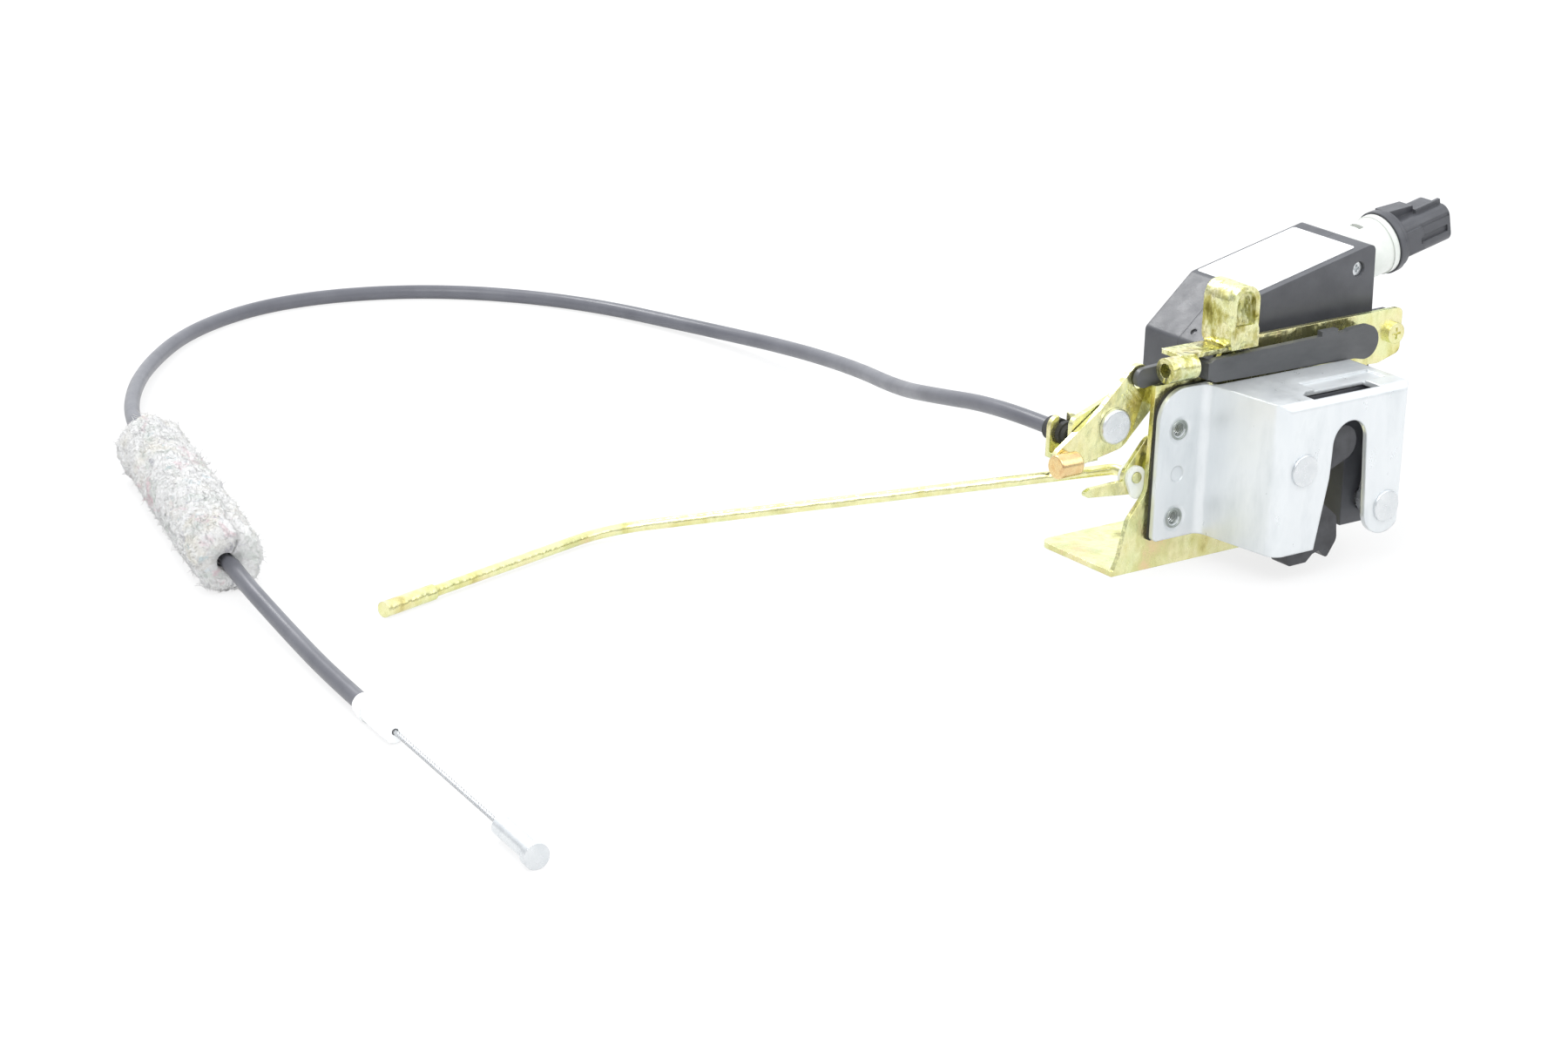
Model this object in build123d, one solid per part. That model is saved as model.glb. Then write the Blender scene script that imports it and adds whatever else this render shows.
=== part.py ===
from build123d import *
import math
import os

os.makedirs("parts", exist_ok=True)

# Tailgate latch with its power lock actuator, release cable and lock rod.
# Millimetres. X runs along the striker face, the face looks towards -Y, Z is up.
# The origin is midway between the two fixing holes, on the front of the flange.

# driving dimensions
tableZ = -35.5            # surface that the bracket's foot stands on
steel = 2.0               # sheet thickness of case and bracket
gasketThick = 1.8
plateFront = steel + gasketThick
plateBack = plateFront + steel
fixPitch = 33.0           # between the two fixing holes
fixHoleR = 2.5            # M6 tapping size
faceY = -36.0             # front of the striker face
caseLeft, caseRight = 15.5, 77.4
caseTop, caseBottom = 32.0, -24.0
wallFootX = 11.5          # where the side wall meets the flange
flangeLeft = -9.8
slotX, slotTopZ, slotR = 48.7, 13.8, 8.3
forkPin = (27.0, 7.0)     # X, Z of the left rivet
pawlPin = (69.2, -13.3)   # X, Z of the right rivet
rivetHeadR = 5.9
forkFront, forkBack = -33.4, -25.4
forkPinR, pawlPinR = 4.0, 3.2
fit = 0.06                # radial running clearance on pins
gap = 0.4                 # clearance between moving neighbours
footDepth = 44.0
releasePin = (-22.6, 19.0)
releaseFront, releaseBack = 10.0, 12.2
wingFront = 12.6
barFront, barBack = -3.2, -0.6
lifterFront, lifterBack = -0.2, 1.8
lifterPin = (86.0, 19.0)
barPinZ = 37.0
lockPin = (-6.0, 8.0)
lockFront, lockBack = 7.4, 9.2
clipPoint = (-14.0, -0.6)
actFront, actBack, actSplit = 12.0, 49.0, 31.0
actWall = 2.2
crankPin = (48.0, 24.0)
gearModule, gearTeeth, pinionTeeth = 0.8, 30, 10
sheathD, wireD = 6.0, 1.6
sleeveD = 24.0
earY, earAt = 24.0, (-33.5, 14.5)   # slotted ear that holds the sheath's end
rodD = 4.0


def save(part, name):
    """Write one sub-part to its STEP file."""
    part.label = name
    export_step(part, f"parts/{name}.step")


def plate(face, front, back):
    """Extrude an X-Z outline from Y = front to Y = back."""
    onPlane = Plane(origin=(0, back, 0), x_dir=(1, 0, 0), z_dir=(0, -1, 0)) * face
    return extrude(onPlane, back - front)


def disc(x, z, radius, front, back):
    """A round bar along Y."""
    return plate(Pos(x, z) * Circle(radius), front, back)


def outline(*points):
    return make_face(Polyline(*points, close=True))


def softCorners(face, picks):
    """Round chosen corners of an outline: (x, z, radius) each."""
    for x, z, radius in picks:
        corner = face.vertices().sort_by_distance((x, z, 0))[0]
        face = fillet(corner, radius)
    return face


def softCornersYZ(face, y, z, radius):
    """Rounds the one corner of a face in the YZ plane that lies at (y, z)."""
    corner = face.vertices().sort_by_distance((0, y, z))[0]
    return fillet(corner, radius)


def slab(x0, x1, y0, y1, z0, z1):
    return Pos((x0 + x1) / 2, (y0 + y1) / 2, (z0 + z1) / 2) * Box(x1 - x0, y1 - y0, z1 - z0)


def link(a, b, ra, rb):
    """Outline of a flat link: two round ends joined by their tangents."""
    return make_hull((Pos(*a) * Circle(ra)).edges() + (Pos(*b) * Circle(rb)).edges())


def hexSocketScrew(x, z, headR, headFront, headBack, shankR, tip):
    """Pan head screw along Y with a cross recess in its head."""
    head = disc(x, z, headR, headFront, headBack)
    shank = disc(x, z, shankR, headBack, tip)
    cross = slab(x - headR * 0.55, x + headR * 0.55, headFront - 1, headFront + 0.9, z - 0.5, z + 0.5)
    cross += slab(x - 0.5, x + 0.5, headFront - 1, headFront + 0.9, z - headR * 0.55, z + headR * 0.55)
    return head + shank - cross


# striker case: flange, raked side wall, face and top bent from one blank
def caseShell():
    section = Plane.XY * make_face(Polyline(
        (flangeLeft, 0), (wallFootX, 0), (caseLeft, faceY), (caseRight, faceY),
        (caseRight, -4), (caseRight - steel, -4), (caseRight - steel, faceY + steel),
        (caseLeft + steel, faceY + steel), (wallFootX + steel, steel), (flangeLeft, steel), close=True))
    bends = [(wallFootX, 0, 3.5), (wallFootX + steel, steel, 1.5), (caseLeft, faceY, 5.0),
             (caseLeft + steel, faceY + steel, 3.0), (caseRight, faceY, 3.0),
             (caseRight - steel, faceY + steel, 1.0)]
    section = softCorners(section, bends)
    walls = Pos(0, 0, caseBottom) * extrude(section, caseTop - caseBottom)
    roof = Polyline((wallFootX + 1.2, -3), (caseLeft + 0.2, faceY + 4), (caseLeft + 4, faceY + 0.4),
                    (caseRight - 3, faceY + 0.4), (caseRight - 0.3, faceY + 3), (caseRight - 0.3, -4), close=True)
    walls += Pos(0, 0, caseTop - steel) * extrude(make_face(roof), steel)
    brow = Plane.YZ * make_face(Polyline((faceY, caseBottom), (10, caseBottom), (10, caseTop), (faceY, caseTop),
                                         close=True))
    brow = softCornersYZ(brow, faceY, caseTop, 3.2)
    walls &= Pos(flangeLeft - 1, 0, 0) * extrude(brow, 100)
    # the flange's front view: big top corner, small bottom corner
    front = outline((flangeLeft, caseBottom), (caseRight + 1, caseBottom), (caseRight + 1, caseTop),
                    (flangeLeft, caseTop))
    front = softCorners(front, [(flangeLeft, caseTop, 11.5), (flangeLeft, caseBottom, 2.0)])
    walls &= plate(front, faceY - 1, steel + 1)
    # striker slot with its flared mouth, and the finger round the right rivet
    mouth = outline((slotX - slotR, slotTopZ), (slotX - slotR - 0.6, 2), (34.4, caseBottom - 1),
                    (pawlPin[0] - 10, caseBottom - 1), (58.8, -14), (slotX + slotR, slotTopZ))
    mouth += Pos(slotX, slotTopZ) * Circle(slotR)
    walls -= plate(mouth, faceY - 1, faceY + 6)
    corner = outline((57, -14), (80, -14), (80, -26), (57, -26)) - Pos(68.3, -14) * Circle(9.6)
    walls -= plate(corner, faceY - 1, faceY + 5)
    walls -= slab(70, 80, faceY + 5, 0, -26, -16)
    # window in the roof that the fork's arm rises into, with its small notch
    window = make_face(Polyline((31.5, -33.6), (64, -33.6), (64, -24.8), (36, -24.8), (31.5, -28), close=True))
    walls -= Pos(0, 0, caseTop - 6) * extrude(window, 8)
    walls -= slab(40, 74, -26, -16.5, caseTop - 0.8, caseTop + 1)
    return walls + fixingCollars() - fixingHoles() - pinHoles()


def fixingCollars():
    """Extruded collars behind the flange that carry the fixing threads."""
    collars = [disc(0, side * fixPitch / 2, 5.2, steel - 0.5, plateBack) for side in (-1, 1)]
    return collars[0] + collars[1]


def fixingHoles():
    cuts = [disc(0, side * fixPitch / 2, fixHoleR, -1, plateBack + 1) for side in (-1, 1)]
    cuts += [plateCone(0, side * fixPitch / 2) for side in (-1, 1)]
    return cuts[0] + cuts[1] + cuts[2] + cuts[3] + disc(0, 0, 2.9, -0.2, 0.6)


def plateCone(x, z):
    """The drawn lead-in of an extruded hole."""
    return Pos(x, 0.2, z) * Rot(90, 0, 0) * Cone(4.1, 5.1, 0.4)


def pinHoles():
    left = disc(*forkPin, forkPinR, faceY - 1, faceY + 4)
    return left + disc(*pawlPin, pawlPinR, faceY - 1, faceY + 4)


# fork: steel claw with a thick plastic coat, shown open
def forkClaw():
    x, z = forkPin
    arm = link((x, z), (x + 21, z + 6), 8.4, 6.5)
    jaw = outline((x - 7.4, z - 4), (x - 7, z - 18), (x - 2, z - 36.5), (x + 7, z - 36.4), (x + 10, z - 33.8),
                  (x + 13, z - 33), (x + 17, z - 36.6), (x + 21.5, z - 30), (x + 20.5, z - 21),
                  (x + 13, z - 15), (x + 10.5, z - 4))
    jaw = softCorners(jaw, [(x - 2, z - 36.5, 2), (x + 17, z - 36.6, 1.2), (x + 21.5, z - 30, 4),
                            (x + 20.5, z - 21, 4), (x + 13, z - 15, 5)])
    claw = plate(arm + jaw, forkFront, forkBack)
    return claw - disc(x, z, forkPinR + fit, forkFront - 1, forkBack + 1)


def pawlLever():
    x, z = pawlPin
    body = link((x, z), (x + 1.2, z + 17), 5.0, 2.4)
    beak = outline((x, z + 4.9), (x - 4.8, z + 3.5), (x - 5.1, z + 0.8), (x - 3, z - 4))
    lever = plate(body + beak, forkFront + 0.8, forkBack - 0.8)
    lever -= disc(x, z, pawlPinR + fit, forkFront - 1, forkBack + 1)
    return lever + disc(x + 1.2, z + 17, 1.7, forkBack - 0.9, lifterBack)


def rivet(x, z, radius, front, back):
    """Shouldered pin: a flat formed head on the face, tail through the bracket."""
    head = disc(x, z, rivetHeadR, front - 1.1, front)
    head = fillet(head.edges().filter_by(GeomType.CIRCLE).sort_by(Axis.Y)[0], 0.5)
    shank = disc(x, z, radius, front, back)
    return head + shank + disc(x, z, radius + 1.6, back, back + 1.5)


def coilSpring(x, z, radius, wire, front, turns):
    """Torsion spring wound round a pin, its turns lying almost close."""
    pitch = wire * 1.35
    path = Helix(pitch=pitch, height=pitch * turns, radius=radius, direction=(0, 1, 0),
                 center=(x, front, z))
    ring = Plane(origin=path @ 0, z_dir=path % 0)
    return sweep(ring * RegularPolygon(wire / 2, 6), path=path, is_frenet=True)


# moulded latch housing behind the fork, with the striker's throat through it
def latchHousing():
    block = outline((19.2, -22.5), (74.6, -22.5), (74.6, 29.4), (18.6, 29.4))
    block = softCorners(block, [(19.2, -22.5, 4), (74.6, -22.5, 4), (74.6, 29.4, 3), (18.6, 29.4, 3)])
    throat = outline((slotX - 9.4, 15), (slotX - 9.4, 2), (33.5, -24), (slotX + 10, -24), (slotX + 9.4, 15))
    throat += Pos(slotX, 15) * Circle(9.4)
    body = plate(block - throat, forkBack + 0.9, -6)
    body -= disc(*forkPin, 8.6, forkBack + 0.5, -14)
    body -= disc(*forkPin, forkPinR + 0.2, -15, -5)
    body -= disc(*pawlPin, 4.6, forkBack + 0.5, -12)
    body -= disc(*pawlPin, pawlPinR + 0.2, -15, -5)
    pegSlot = link((pawlPin[0] + 0.4, pawlPin[1] + 17), (pawlPin[0] + 5, pawlPin[1] + 16.6), 2.5, 2.5)
    body -= plate(pegSlot, forkBack, -5)
    return body - bumperPocket()


def bumperPocket():
    return slab(slotX - 6, slotX + 6, forkBack, -10, 22, 27)


def overslamBumper():
    pad = slab(slotX - 5.9, slotX + 5.9, forkBack + 1.2, -10.1, 23, 26.9)
    return fillet(pad.edges().filter_by(Axis.Y), 1.2)


def gasket():
    ring = outline((flangeLeft + 0.4, caseBottom), (13.5, caseBottom), (13.5, caseTop), (flangeLeft + 0.4, caseTop))
    ring = softCorners(ring, [(flangeLeft + 0.4, caseTop, 11.2)])
    pad = plate(ring, steel, plateFront)
    return pad - disc(0, fixPitch / 2, 5.4, 0, 6) - disc(0, -fixPitch / 2, 5.4, 0, 6)


# main bracket: upright plate, foot, joggled wing for the release lever
def mainBracket():
    top = 45.0
    face = outline((-25, tableZ), (72, tableZ), (80, -24), (80, 26), (100, 25), (111, 28), (111, top),
                   (39, top), (36.5, 42.2), (22, 42.2), (17, 33.2), (-9.5, 33.2), (-10.5, -6), (-18.6, -15.5), (-21.8, -29))
    rounds = [(111, 28, 3), (111, top, 2.5), (100, 25, 5), (80, -24, 6), (72, tableZ + 0, 3),
              (-10.5, -6, 6), (-18.6, -15.5, 7), (17, 33.2, 2)]
    face = softCorners(face, rounds)
    upright = plate(face, plateFront, plateBack)
    foot = slab(-25, 60, plateFront, footDepth, tableZ, tableZ + steel)
    foot = fillet(foot.edges().filter_by(Axis.Z).group_by(Axis.Y)[-1], 5)
    bend = slab(-22, 60, plateBack, plateBack + 3, tableZ + steel, tableZ + steel + 3)
    bend -= Pos(19, plateBack + 3, tableZ + steel + 3) * Rot(0, 90, 0) * Cylinder(3, 90)
    body = upright + foot + bend
    body += slab(-3.2, -1.2, plateFront, wingFront + steel, 23, 31)
    wing = outline((-1.2, 23), (-1.2, 31), (-20, 30), (-40, 23), (-40, 6), (-16, 9))
    wing = softCorners(wing, [(-20, 30, 6), (-40, 23, 3), (-40, 6, 1.5), (-16, 9, 5)])
    body += plate(wing, wingFront, wingFront + steel) + cableEar()
    for x, z, r in bracketHoles():
        body -= disc(x, z, r, plateFront - 1, plateBack + 1)
    body -= disc(*releasePin, 3.0, wingFront - 1, wingFront + steel + 1)
    # throat: the striker passes through the case and clears the plate too
    throat = outline((slotX - 9, 14), (38, tableZ + 9), (60, tableZ + 9), (slotX + 9, 14))
    return body - plate(throat + Pos(slotX, 14) * Circle(9), plateFront - 1, plateBack + 1)


def cableEar():
    """Shelf and slotted ear behind the wing that hold the sheath's end fitting."""
    shelf = slab(-40, -27, wingFront, earY + steel, 6.2, 6.2 + steel)
    ear = outline((-40, 6.2), (-27, 6.2), (-27, 21), (-40, 21))
    ear = plate(softCorners(ear, [(-27, 21, 4), (-40, 21, 4)]), earY, earY + steel)
    notch = slab(earAt[0] - 2.6, earAt[0] + 2.6, earY - 1, earY + steel + 1, earAt[1], 22)
    return shelf + ear - notch - disc(*earAt, 2.6, earY - 1, earY + steel + 1)


def bracketHoles():
    return [(0, fixPitch / 2, 5.4), (0, -fixPitch / 2, 5.4), (*forkPin, forkPinR), (*pawlPin, pawlPinR),
            (*lockPin, 2.5), (106.5, 36.0, 2.2), (31, 38, 2.0), (70, 20, 2.2)]


# release lever on the wing
def releaseLever():
    x, z = releasePin
    body = link((x, z), (-12, 35), 9.5, 5.0) + link((x, z), (-45, 10), 9.5, 4.6)
    lever = plate(body, releaseFront, releaseBack)
    for step in range(3):
        a = (x + 3.5 + 2.2 * step, z + 10.5 + 1.2 * step)
        lever += plate(link(a, (a[0] + 4.5, a[1] - 4.5), 0.6, 0.6), releaseFront - 0.3, releaseFront + 0.2)
    lever -= disc(x, z, 3.0 + fit, 9, 13)
    lever -= plate(link((-12, 35.2), (-12.1, 33.2), 2.1, 2.1), 9, 13)
    return lever - disc(-45, 10, 2.0, 9, 13)


def releaseRivet():
    x, z = releasePin
    head = disc(x, z, 6.6, releaseFront - 2.2, releaseFront - 0.1)
    head = fillet(head.edges().filter_by(GeomType.CIRCLE).sort_by(Axis.Y)[0], 1.2)
    return head + disc(x, z, 3.0, releaseFront - 0.1, 15.2) + disc(x, z, 4.6, 14.7, 16.2)


def bushBarrel():
    """Copper-plated barrel on the lever's lower end, lying along X."""
    body = Pos(-48, 5.3, 10) * Rot(0, 90, 0) * Cylinder(4.3, 10)
    body = fillet(body.edges().filter_by(GeomType.CIRCLE), 0.8)
    return body + disc(-45, 10, 1.95, 6, 12.4) + disc(-45, 10, 3.4, 8.6, 9.9) + disc(-45, 10, 2.9, 12.3, 13.0)


# black link bar above the case, joggled back to the release lever
def linkBar():
    front = link((13, 37.3), (86, barPinZ), 4.3, 5.6)
    bar = plate(front, barFront, barBack)
    bar += slab(8.7, 12.0, barFront, 9.5, 34.4, 40.6)
    bar += plate(link((-12, 35.6), (11.8, 37.4), 3.6, 3.0), 7.2, 9.4)
    bar += slab(63.5, 71.5, barFront, barBack, 38, 44.2)
    bar += plate(link((79, 37.6), (86, barPinZ), 5.6, 6.4), barFront, barBack)
    bar += disc(-12, 35.0, 1.8, 9.3, 12.3)
    return bar - disc(86, barPinZ, 2.2, barFront + 1.0, barBack + 1)


def pawlLifter():
    x, z = lifterPin
    pegX, pegZ = pawlPin[0] + 1.2, pawlPin[1] + 17
    body = link((x, z), (x, barPinZ), 5.5, 3.6) + link((x, z), (pegX, pegZ + 1.2), 5.5, 4.6)
    lever = plate(body, lifterFront, lifterBack)
    lever -= plate(link((pegX, pegZ - 0.2), (pegX, pegZ + 2.4), 2.1, 2.1), lifterFront - 1, lifterBack + 1)
    lever += disc(x, barPinZ, 1.8, barFront + 1.3, lifterFront + 0.1)
    return lever - disc(x, z, 2.5 + fit, -2, 3)


def lifterRivet():
    x, z = lifterPin
    return disc(x, z, 4.4, -1.8, -0.5) + disc(x, z, 2.5, -0.5, plateBack - 0.2) + disc(x, z, 4.4, 2.2, 3.9)


# yellow guide: arch over the bar, flat tab and rolled knuckle
def barGuide():
    arch = Pos(24, 0) * RectangleRounded(13, 25, 6.2) - Pos(24, -0.1) * RectangleRounded(9, 21.2, 4.3)
    arch = Pos(0, 54.5) * arch - Pos(24, 40) * Rectangle(20, 8)
    hood = plate(arch, -4.2, 11.2)
    tab = slab(-1, 34, 0.2, 11.2, 42.2, 44.0)
    block = slab(18.2, 31, -4.2, -2.6, 44, 52.5)
    block = fillet(block.edges().filter_by(Axis.Y).group_by(Axis.Z)[-1], 2.5)
    knuckle = Pos(-1.4, 1.4, 39.2) * Rot(0, 90, 0) * (Cylinder(4.6, 13) - Cylinder(2.6, 15))
    leg = slab(26, 36, plateBack, plateBack + 1.8, 33.5, 42.4)
    whole = hood + tab + block + knuckle + leg
    return whole - disc(31, 38, 2.0, 4, 9)


# lock lever behind the plate, and the actuator's crank that moves it
def lockLever():
    x, z = lockPin
    elbow = (12, 3.5)
    body = link((x, z), clipPoint, 5.4, 5.0) + link((x, z), elbow, 5.0, 4.4) + link(elbow, (25, 24), 4.4, 5.2)
    tail = outline((-12, -1.4), (-34, -1.9), (-38, -3.4), (-35, -5.0), (-12, -7.4))
    tail = softCorners(tail, [(-38, -3.4, 1.0), (-34, -1.9, 2), (-35, -5.0, 2), (-12, -7.4, 2)])
    lever = plate(body + tail, lockFront, lockBack)
    lever -= disc(*clipPoint, 3.2, 6, 10) + disc(x, z, 2.5 + fit, 6, 10)
    return lever - plate(link((24.0, 24), (26.6, 24), 2.1, 2.1), 6, 10)


def rodClip():
    """Nylon clip snapped into the lock lever; the rod's hooked end turns in it."""
    x, z = clipPoint
    body = disc(x, z, 3.2, lockFront, lockBack)
    body += plate(link((x, z), (x + 0.8, z - 5.2), 4.2, 2.9), lockFront - 1.4, lockFront)
    body += disc(x, z, 4.6, lockBack, lockBack + 1.6)
    return body - disc(x, z, rodD / 2 + fit, 4, 12)


rodRoute = [(-14, 5.4, -0.6), (-14, 17.5, -0.6), (-155, 132, tableZ + 2.9), (-266, 103, tableZ + 2.9)]


def lockRod():
    """Zinc-plated lock rod: hooked end in the clip, threaded far end."""
    path = FilletPolyline(*rodRoute, radius=[5.0, 30.0])
    start = Plane(origin=path @ 0, z_dir=path % 0)
    rod = sweep(start * Circle(rodD / 2), path=path)
    tip, heading = Vector(*rodRoute[-1]), Vector(*rodRoute[-1]) - Vector(*rodRoute[-2])
    heading = heading.normalized()
    sleevePlane = Plane(origin=tip - heading * 24, z_dir=heading)
    return rod + extrude(sleevePlane * Circle(rodD / 2 + 0.8), 24)


# actuator: two moulded shells, motor, gears and crank
def actProfile(inset=0.0):
    pts = [(25, 8), (104.4, 8), (102.6, 68.6), (46, 56.6), (25, 38.6)]
    face = outline(*pts)
    face = softCorners(face, [(25, 8, 3), (104.4, 8, 3), (102.6, 68.6, 2.5), (46, 56.6, 3), (25, 38.6, 2.5)])
    return offset(face, -inset, kind=Kind.INTERSECTION) if inset else face


def shellHalf(front, back, closedFront):
    body = plate(actProfile(), front, back)
    cavity = plate(actProfile(actWall), front + actWall if closedFront else front - 1,
                   back + 1 if closedFront else back - actWall)
    return body - cavity


def screwSpots():
    return [(94.6, 59.6), (98.6, 13.6), (30.6, 13.6)]


def frontShell():
    body = shellHalf(actFront, actSplit, True)
    for x, z in screwSpots():
        body += disc(x, z, 3.9, actFront + 0.5, actSplit)
    body += plate(outline((101, 30), (112, 30), (112, 42), (101, 42)), plateBack + 0.1, actFront + 3)
    body += disc(70, 20, 5.0, plateBack + 0.1, actFront + 1)
    for x, z in screwSpots():
        body -= disc(x, z, 2.9, actFront - 1, actFront + 3)
        body -= disc(x, z, 1.6, actFront, actSplit + 1)
    body -= Plane(origin=(28.6, 27, 41.7), z_dir=(-0.651, 0, 0.759)) * Cylinder(1.3, 1.4)
    body -= disc(106.5, 36, 1.8, 5, 14)
    body -= disc(70, 20, 1.8, 5, 13)
    body -= neckAxis() * Pos(0, 0, 3) * Cylinder(9.05, 10)
    return body - disc(*crankPin, 3.0 + fit, actFront - 1, actFront + 4)


def rearShell():
    body = shellHalf(actSplit, actBack, False)
    for x, z in screwSpots():
        body += disc(x, z, 3.9, actSplit, actBack - 0.5)
        body -= disc(x, z, 1.35, actSplit - 1, actSplit + 12)
    body -= disc(*crankPin, 3.0 + fit, actBack - actWall - 1, actBack - 1)
    return body - neckAxis() * Pos(0, 0, 3) * Cylinder(9.05, 10)


def coverScrews():
    rows = [hexSocketScrew(x, z, 2.7, actFront + 1.2, actFront + 3, 1.3, actSplit + 9) for x, z in screwSpots()]
    return Compound(children=rows)


def bracketScrews():
    right = hexSocketScrew(106.5, 36, 4.0, plateFront - 2.2, plateFront, 1.75, plateBack + 8)
    left = hexSocketScrew(70, 20, 4.0, plateFront - 2.0, plateFront, 1.75, plateBack + 6)
    return Compound(children=[right, left])


def gearOutline(teeth, module):
    """Spur gear outline with straight-sided teeth and running backlash."""
    pitchR = teeth * module / 2
    tipR, rootR = pitchR + 0.9 * module, pitchR - 1.15 * module
    points = []
    for k in range(teeth):
        mid = 2 * math.pi * k / teeth
        for radius, half in ((rootR, 0.30), (tipR, 0.10), (tipR, -0.10), (rootR, -0.30)):
            angle = mid - half * 2 * math.pi / teeth
            points.append((radius * math.cos(angle), radius * math.sin(angle)))
    return outline(*points)


pinionAt = (crankPin[0] + (gearTeeth + pinionTeeth) * gearModule / 2 * math.cos(math.radians(20)),
            crankPin[1] + (gearTeeth + pinionTeeth) * gearModule / 2 * math.sin(math.radians(20)))


def outputGear():
    """Wheel whose tooth space faces the pinion, on a shaft through the front shell."""
    wheel = Rot(0, 0, 20 + 180 / gearTeeth) * gearOutline(gearTeeth, gearModule)
    body = plate(Pos(*crankPin) * wheel, 17, 23)
    return body + disc(*crankPin, 3.0, lockBack + 0.6, actBack - actWall - 0.3)


def crank():
    x, z = crankPin
    arm = plate(link((x, z), (26, 24), 5.6, 3.4), lockBack + 0.5, actFront - 0.5)
    return arm - disc(x, z, 3.0, 8, 13) + disc(26, 24, 1.5, lockFront, lockBack + 0.6)


def motorPinion():
    toothed = Rot(0, 0, 200) * gearOutline(pinionTeeth, gearModule)
    return plate(Pos(*pinionAt) * toothed, 17, 24) + disc(*pinionAt, 1.0, 24, 27)


def motorCan():
    can = disc(*pinionAt, 8.6, 26, 45)
    can = fillet(can.edges().filter_by(GeomType.CIRCLE), 1.0)
    can += disc(*pinionAt, 3.0, 25, 26.2) + disc(*pinionAt, 3.0, 45, actBack - actWall)
    return can - disc(*pinionAt, 1.0 + fit, 20, 30)


# connector: white neck, black ring and socket, tilted with the housing's top
def neckAxis():
    return Pos(102.8, 34, 55.0) * Rot(0, 90 - 12, 0)


def connectorNeck():
    body = Pos(0, 0, 14) * Cylinder(11.0, 21) + Pos(0, 0, 1.5) * Cylinder(9.0, 6)
    body += Pos(0, 0, 22.9) * Cylinder(11.5, 2.6)
    body -= Pos(0, 0, 12) * Cylinder(8.0, 40)
    window = Pos(-10, 0, 13.5) * Box(8, 6, 2.4)
    return neckAxis() * (body - window)


def socketShell():
    """Round collar and keyed oblong socket; the socket's local -X side is its top."""
    body = Pos(0, 0, 25.8) * Cylinder(12.2, 2.6) + Pos(0, 0, 28) * Cylinder(11.4, 2.4)
    body += Pos(0, 0, 28) * extrude(RectangleRounded(14.6, 18, 4.0), 25)
    ramp = Plane.XZ * make_face(Polyline((-6, 28), (-11.2, 29), (-9.6, 41.5), (-6, 41.5), close=True))
    body += Pos(0, 5.6, 0) * extrude(ramp, 7.0)
    body += Pos(-7.9, -3.6, 46.5) * Box(2.4, 1.4, 13)
    for side in (-1, 1):
        body += Pos(0, side * 9.0, 33) * Box(9.0, 2.4, 10)
        body -= Pos(1.0, side * 9.2, 44) * Box(2.6, 2.2, 15)
        body -= Pos(-4.2, side * 9.6, 45) * Box(1.2, 2.0, 15)
    hollow = Pos(0, 0, 38) * extrude(RectangleRounded(11.2, 14.4, 2.2), 16)
    return neckAxis() * (body - hollow)


def terminals():
    pins = []
    for row in (-1, 1):
        for column in (-1, 0, 1):
            pins.append(neckAxis() * Pos(row * 2.6, column * 4.2, 40) * Box(0.8, 1.6, 10))
    return Compound(children=pins)


# release cable
sheathRoute = [
    (-33.5, 31, 14.5), (-33.5, 60, 14.5), (-26, 108, 4.5), (-8, 150, -7), (13, 205, -16.5),
    (24.5, 262, -25), (24, 318, -31.5), (1, 388, tableZ + 3), (-45, 434, tableZ + 3),
    (-105, 450, tableZ + 3), (-160, 432, tableZ + 3), (-207, 387, tableZ + 4.2),
    (-243, 331, tableZ + 8.4), (-262, 281, tableZ + 12.2), (-301, 148, tableZ + 12.2),
    (-307, 96, tableZ + 5.4), (-314, 57, tableZ + 4.4), (-318, 29.5, tableZ + 4.4)]


def routeRadii(points):
    """The largest tangent arc that each corner's two runs allow."""
    radii = []
    for before, here, after in zip(points, points[1:], points[2:]):
        a, b = Vector(*here) - Vector(*before), Vector(*after) - Vector(*here)
        turn = math.radians(a.get_angle(b))
        radii.append(0.45 * min(a.length, b.length) / math.tan(turn / 2))
    return radii


def cordTube(points, diameter):
    radii = routeRadii(points)
    path = FilletPolyline(*points, radius=radii)
    tube = sweep(Plane(origin=path @ 0, z_dir=path % 0) * Circle(diameter / 2), path=path)
    expected = math.pi * diameter ** 2 / 4 * path.length
    print(f"cord {diameter} mm: length {path.length:.1f}, volume ratio {tube.volume / expected:.4f}")
    print("  radii", [round(r) for r in radii])
    return tube


def along(points, start, length, radius):
    """Round bar that carries on along a route's last run."""
    tip, back = Vector(*points[-1]), Vector(*points[-2])
    heading = (tip - back).normalized()
    return extrude(Plane(origin=tip + heading * start, z_dir=heading) * Circle(radius), length)


def felt():
    a, b = Vector(*sheathRoute[13]), Vector(*sheathRoute[14])
    heading = (b - a).normalized()
    start = a - heading * 2
    body = extrude(Plane(origin=start, z_dir=heading) * Circle(sleeveD / 2), 134)
    return body - extrude(Plane(origin=start - heading, z_dir=heading) * Circle(sheathD / 2 + 0.4), 137)


def sheathFerrule():
    """End fitting crimped on the sheath and snapped into the ear, with its rubber grommet side."""
    x, z = earAt
    body = disc(x, z, 4.4, earY + steel, 31) + disc(x, z, 2.5, earY, earY + steel)
    body += disc(x, z, 4.4, earY - 2, earY)
    return body - disc(x, z, wireD / 2 + 0.3, earY - 3, 32)


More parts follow.
